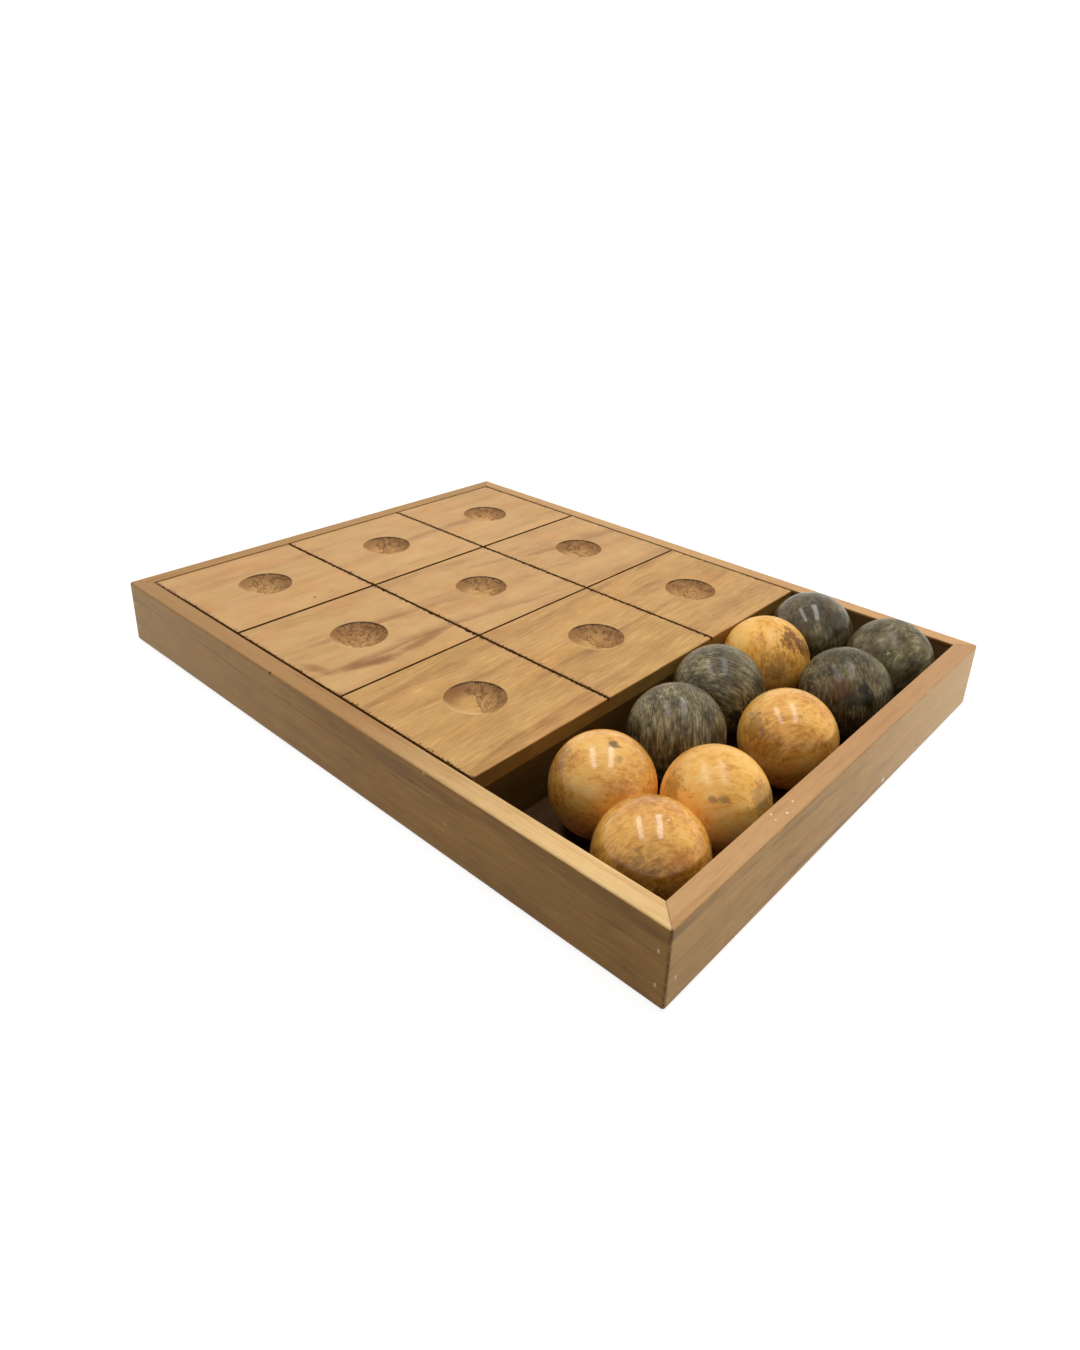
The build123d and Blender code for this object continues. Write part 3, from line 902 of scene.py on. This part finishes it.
def make_balls():
    """The ten balls, each with its own wood, in the order of the finishes' arguments.

    A smudge or a mark starts with its offset in millimetres from the ball's centre.
    """
    across, upright = (2, 0, -48), (-67, 0, -133)
    brown, black, rust = (104, 66, 26), (14, 12, 8), (98, 62, 30)
    tan, straw = (146, 116, 74), (220, 208, 140)
    light_looks = (
        (across, 3, 0.6, 0.10, 0.58,
            (((-14.0, -14.0, 14.0), 9.0, 0.5), ((18.0, -10.0, 10.0), 9.0, 0.35)),
            (((5.0, -0.1, 23.9), 2.3, brown, 0.85), ((11.5, -4.0, 21.0), 1.8, brown, 0.4))),
        (upright, 12, 0.15, 0.25, 0.62,
            (((15.5, -2.0, 18.5), 9.5, 0.85), ((15.0, -16.5, 8.0), 10.0, 0.55),
             ((20.0, 4.0, 12.0), 7.0, 0.7)),
            ()),
        ((30, 0, -40), 21, 0.7, 0.08, 0.5,
            (((8.0, -21.0, 7.0), 12.0, 0.5), ((20.0, -12.0, 6.0), 8.0, 0.4)),
            ()),
        (across, 30, 0.35, 0.2, 0.66,
            (((21.0, 2.0, 11.0), 9.0, 0.5), ((-11.0, -18.0, 11.0), 8.0, 0.45)),
            (((8.7, -17.6, 14.5), 1.5, tan, 0.7), ((11.5, -15.5, 14.9), 1.6, tan, 0.7))),
        ((30, 0, -48), 39, 0.55, 0.13, 0.59,
            (((-8.0, -19.0, 12.0), 9.0, 0.5), ((2.0, -22.0, 7.0), 8.0, 0.4)),
            (((-9.0, -15.1, 16.9), 1.3, brown, 0.6), ((-4.4, -20.5, 12.4), 1.2, brown, 0.5))),
    )
    dark_looks = (
        (upright, 60, 0.35, 0.16, 0.52, 0.25, 0.7, ()),
        ((-25, 0, -61), 69, 0.4, 0.2, 0.48, 0.2, 0.7, ()),
        # Dark ball 3's lower lightness is painted shade: the whole ball is made darker.
        ((-60, 0, -120), 78, 0.6, 0.12, 0.4, 0.3, 0.1, ()),
        ((-62, 0, -128), 87, 0.3, 0.2, 0.47, 0.3, 0.55,
            (((4.0, -20.0, 12.0), 5.5, rust, 0.6), ((15.0, -13.5, 13.5), 3.0, black, 0.85),
             ((17.5, -14.0, 8.5), 3.6, black, 0.8), ((11.0, -19.5, 8.5), 4.0, black, 0.7),
             ((-8.0, -17.0, 15.5), 3.5, black, 0.5))),
        ((43, 0, -26), 96, 0.3, 0.25, 0.55, 0.2, 0.12, (((4.1, -19.7, 13.8), 0.9, straw, 0.9),)),
    )
    for index, look in enumerate(light_looks):
        name = f"light_ball_{index + 1}"
        ball_piece(name, light_ball_finish(name, box_middle(name), *look), light_ball_seed + index)
    for index, look in enumerate(dark_looks):
        name = f"dark_ball_{index + 1}"
        ball_piece(name, dark_ball_finish(name, box_middle(name), *look), dark_ball_seed + index)


def make_planks():
    """The three planks, each with its own wood, its dimples and its kerfs."""
    kerf = kerf_finish()
    tilts = {"left_plank": (1.2, 0, 1.5), "middle_plank": (1.8, 0, -4.0), "right_plank": (1.0, 0, 2.0)}
    dark_speck = (84, 52, 28)
    smears = {"middle_plank": (
        ((-35.0, -131.0, 39.0), (12.0, 4.5), 22.0, (144, 96, 46), 0.65),
        ((-21.0, -108.0, 39.0), (5.5, 24.0), -15.0, (136, 88, 40), 0.85),
        ((-21.0, -72.0, 39.0), (5.0, 24.0), 10.0, (144, 96, 46), 0.7),
    )}
    marks = {"left_plank": (
        ((-106.7, -82.2, 39.0), 0.9, dark_speck),
        ((-108.1, -69.2, 39.0), 0.6, dark_speck),
    )}
    for name in planks:
        centre = box_middle(name)
        flaws = marks.get(name, ()), smears.get(name, ())
        board = board_finish(f"waxed_{name}", plank_timbers[name], centre, tilts[name], *flaws, sawn=True)
        dimple = dimple_finish(f"torn_{name}", plank_timbers[name], centre, tilts[name])
        plank_piece(name, [board, dimple, kerf])


def make_frame_finishes():
    """Finishes for the rails, the inside boards and the pins, which keep their CAD shapes."""
    pale, dark, chip, white = (222, 192, 146), (78, 50, 28), (255, 236, 204), (250, 244, 232)
    near_marks = (
        ((83.4, -149.5, 18.7), 0.7, pale),
        ((70.0, -149.5, 37.9), 0.7, pale),
        ((-48.4, -149.5, 38.3), 1.0, dark),
    )
    end_marks = (
        ((200.0, 35.7, 5.5), 1.3, white),
        ((200.0, 77.7, 6.1), 0.7, dark),
        ((194.5, -55.1, 39.0), 0.5, chip),
        ((196.6, -63.7, 39.0), 0.6, chip),
        ((192.3, -69.3, 39.0), 0.5, chip),
        ((195.4, -70.9, 39.0), 0.4, chip),
    )
    brown = ((130, 90, 42), (178, 132, 68), (206, 160, 92))
    golden = ((160, 114, 60), (210, 164, 98), (232, 188, 124))
    greyed = ((144, 102, 56), (188, 145, 84), (212, 168, 106))
    top_by_rail = {
        "near_rail": ("x", 0.0, 165.0, (178, 134, 85), (255, 216, 152)),
        "right_rail": ("y", 20.0, -100.0, (198, 150, 104), (212, 166, 116)),
        "far_rail": ("x", -50.0, 170.0, (212, 166, 110), (216, 168, 116)),
        "left_rail": ("y", -100.0, 100.0, (182, 136, 80), (186, 140, 84)),
    }
    near_pale = ("x", 60.0, -190.0, (226, 186, 130))
    end_pale = ("y", -90.0, 150.0, (236, 204, 160))
    # Each rail's colours, its grain's turn, a seed and the pith, then its marks, its line and its pale end
    looks = {
        "near_rail": (brown, (0, 1.0, 90), 51, (46, 30), near_marks, (25.0, -0.012), near_pale),
        "right_rail": (greyed, (-1.5, 0, 0), 69, (42, 34), end_marks, None, end_pale),
        "far_rail": (golden, (0, 1.5, 90), 57, (-40, 24)),
        "left_rail": (golden, (1.0, 0, 0), 63, (-50, 20)),
    }
    for name, (colours, *rest) in looks.items():
        dress(name, rail_finish(name, colours, top_by_rail[name], *rest))
    # Painted shade: the tray's floor, its wall and the bearers are given dark timber.
    dress("base_board", board_finish("shade_darkened_base", shade_darkened_timber, box_middle("base_board"), (0.5, 0, 1.0)))
    dress("tray_wall", board_finish("shade_darkened_wall", shade_darkened_wall_timber, box_middle("tray_wall"), (2.0, 0, 0)))
    bearer = board_finish("shade_darkened_bearer", shade_darkened_timber, box_middle("middle_bearer"), (0, 1.0, 90))
    for name in ("near_bearer", "middle_bearer", "far_bearer"):
        dress(name, bearer)
    dress("pin_hole_fillers", filler_finish())
    steel = steel_finish()
    dress("corner_pins", steel)
    dress("base_pins", steel)


bpy.context.scene.view_settings.view_transform = "Standard"
make_camera()
make_world()
make_floor()
make_lights()
make_frame_finishes()
make_planks()
make_balls()
